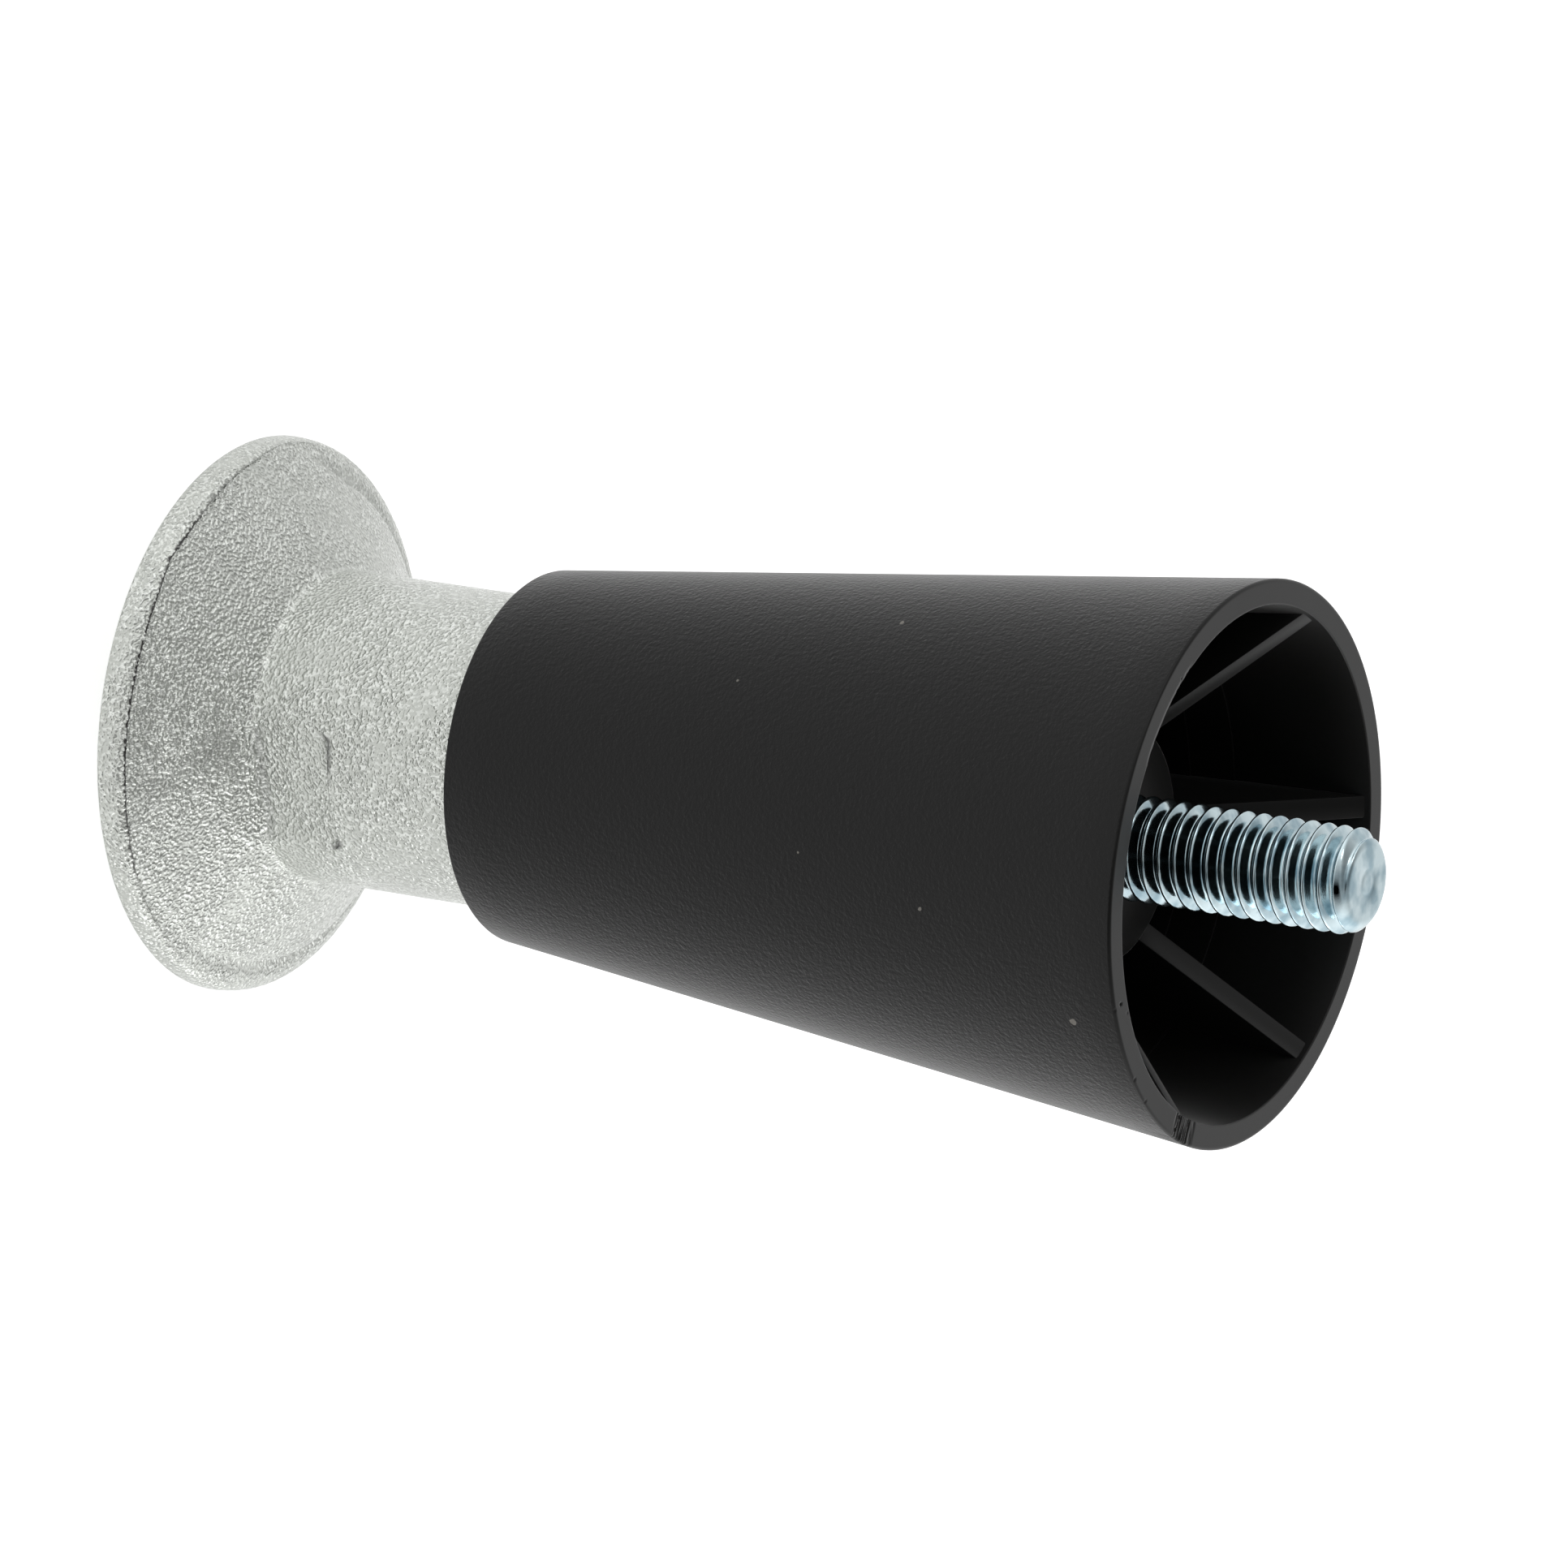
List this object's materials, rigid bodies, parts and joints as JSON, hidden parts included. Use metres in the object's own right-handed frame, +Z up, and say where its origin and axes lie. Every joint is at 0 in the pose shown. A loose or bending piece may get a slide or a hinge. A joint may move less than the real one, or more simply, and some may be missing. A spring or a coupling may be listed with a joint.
{
  "type": "equipment leg",
  "caption": "Tapered black plastic equipment leg with a threaded stud in its ribbed mouth and a flanged metal foot that screws in or out to level it.",
  "frame": {"origin": "on the leg's axis, on the floor under the foot's flange", "axes": "+Z up along the leg's axis, from the foot to the stud; +X along one rib of the mouth"},
  "size_m": [0.052, 0.052, 0.1165],
  "materials": {
    "black_nylon": "moulded black nylon, fine matte texture",
    "zinc_plated_steel": "bright blue-white zinc plating over rolled steel",
    "cast_metal": "aluminium casting with a silver wrinkled lacquer"
  },
  "bodies": {
    "leg": {"leg_body": "black_nylon", "mounting_bolt": "zinc_plated_steel"},
    "foot": {"foot": "cast_metal"}
  },
  "joints": [
    {"name": "foot_height", "type": "slide", "parent": "leg", "child": "foot", "axis": [0, 0, -1], "range_m": [-0.00635, 0.00953]}
  ]
}
